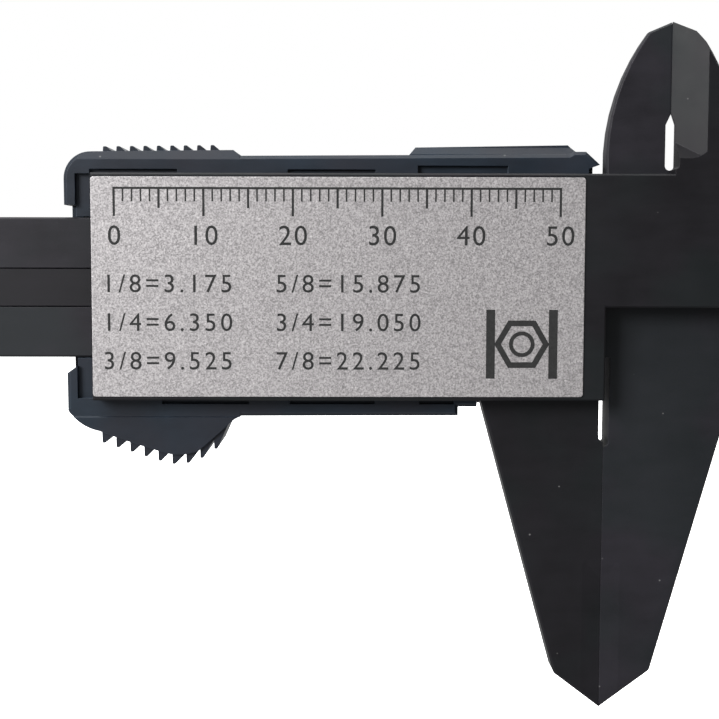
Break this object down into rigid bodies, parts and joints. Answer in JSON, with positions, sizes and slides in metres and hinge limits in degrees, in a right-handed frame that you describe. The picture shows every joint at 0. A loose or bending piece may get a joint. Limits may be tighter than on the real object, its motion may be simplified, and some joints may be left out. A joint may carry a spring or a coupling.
{
  "type": "digital caliper",
  "caption": "Moulded plastic digital caliper with outside and inside jaws, a depth rod, a sliding display head and a thumb grip.",
  "frame": {"origin": "where the zero line of the outside jaws crosses the beam's centre line, half way through the beam's thickness", "axes": "+X is the slider's opening direction along the beam, +Z points from the outside jaws to the inside jaws, -Y is the display side and +Y the label side"},
  "size_m": [0.235, 0.0164, 0.0794],
  "materials": {
    "beam_composite": "satin moulded fibre-filled plastic, charcoal",
    "slider_composite": "satin moulded fibre-filled plastic, near black",
    "rod_composite": "satin moulded plastic",
    "housing_plastic": "fine-textured moulded plastic, blue black",
    "label_foil": "printed foil label with a sparkling grain",
    "scale_print": "printed scale strip",
    "overlay_print": "printed front overlay, dark with light marks",
    "window_clear": "clear display window",
    "lcd_glass": "grey-green liquid crystal panel",
    "holder_plastic": "white moulded display holder",
    "zebra_rubber": "layered conductive rubber",
    "board_green": "green circuit board",
    "resin": "black potting resin",
    "ceramic": "tan ceramic chip parts",
    "switch_black": "black switch bodies",
    "cell_steel": "nickel-plated cell",
    "contact_metal": "plated contact leaves",
    "steel": "plated steel hardware",
    "brass": "brass gib strip",
    "button_rubber": "soft grey button caps"
  },
  "bodies": {
    "beam": {"beam": "beam_composite", "stator_strip": "board_green", "scale_plate": "scale_print", "end_stop": "beam_composite", "end_stop_screws": "steel"},
    "slider": {"slider_frame": "slider_composite", "gib_strip": "brass", "gib_spring": "steel", "depth_rod": "rod_composite", "depth_rod_rivet": "steel", "rear_label": "label_foil", "housing_screws": "steel", "front_housing": "housing_plastic", "front_overlay": "overlay_print", "display_window": "window_clear", "lcd_panel": "lcd_glass", "lcd_holder": "holder_plastic", "zebra_strips": "zebra_rubber", "circuit_board": "board_green", "board_screws": "steel", "board_chip": "resin", "quartz_crystal": "steel", "chip_capacitors": "ceramic", "tact_switches": "switch_black", "button_cell": "cell_steel", "contact_minus": "contact_metal", "contact_plus": "contact_metal"},
    "button_units": {"button_units": "button_rubber"},
    "button_power": {"button_power": "button_rubber"},
    "button_zero": {"button_zero": "button_rubber"},
    "battery_cover": {"battery_cover": "housing_plastic"}
  },
  "joints": [
    {"name": "slider_travel", "type": "slide", "parent": "beam", "child": "slider", "axis": [1, 0, 0], "range_m": [0, 0.15]},
    {"name": "units_press", "type": "slide", "parent": "slider", "child": "button_units", "axis": [0, 1, 0], "range_m": [0, 0.0003], "stiffness_N_per_m": 1500},
    {"name": "power_press", "type": "slide", "parent": "slider", "child": "button_power", "axis": [0, 1, 0], "range_m": [0, 0.0003], "stiffness_N_per_m": 1500},
    {"name": "zero_press", "type": "slide", "parent": "slider", "child": "button_zero", "axis": [0, 1, 0], "range_m": [0, 0.0003], "stiffness_N_per_m": 1500},
    {"name": "cover_slide", "type": "slide", "parent": "slider", "child": "battery_cover", "axis": [0, 0, 1], "range_m": [0, 0.016]}
  ]
}
